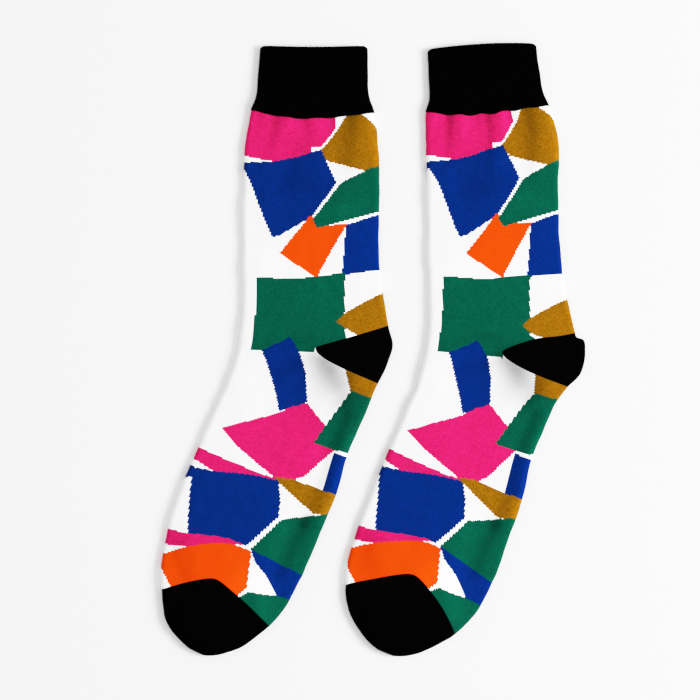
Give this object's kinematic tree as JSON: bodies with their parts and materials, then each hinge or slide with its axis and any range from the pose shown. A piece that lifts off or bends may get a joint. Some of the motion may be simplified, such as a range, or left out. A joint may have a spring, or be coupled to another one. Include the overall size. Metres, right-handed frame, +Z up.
{
  "type": "pair of crew socks",
  "caption": "Pair of crew socks laid flat, each a knitted tube with a ribbed cuff, a leg and foot in angular colour blocks on white, a pocket heel and a closed toe.",
  "frame": {"origin": "middle of the pair's underside, on the surface it lies on", "axes": "+Z up from that surface; +Y along the legs, towards the cuffs; +X towards the heels"},
  "size_m": [0.2962, 0.4282, 0.0073],
  "materials": {
    "black_knit": "matt black cotton knit, ribbed at the cuff",
    "block_knit": "fine plain knit, white with blocks of pink, blue, green, mustard and orange"
  },
  "bodies": {
    "root": {"left_cuff": "black_knit", "left_leg_and_foot": "block_knit", "left_heel": "black_knit", "left_toe": "black_knit", "right_cuff": "black_knit", "right_leg_and_foot": "block_knit", "right_heel": "black_knit", "right_toe": "black_knit"}
  },
  "joints": []
}
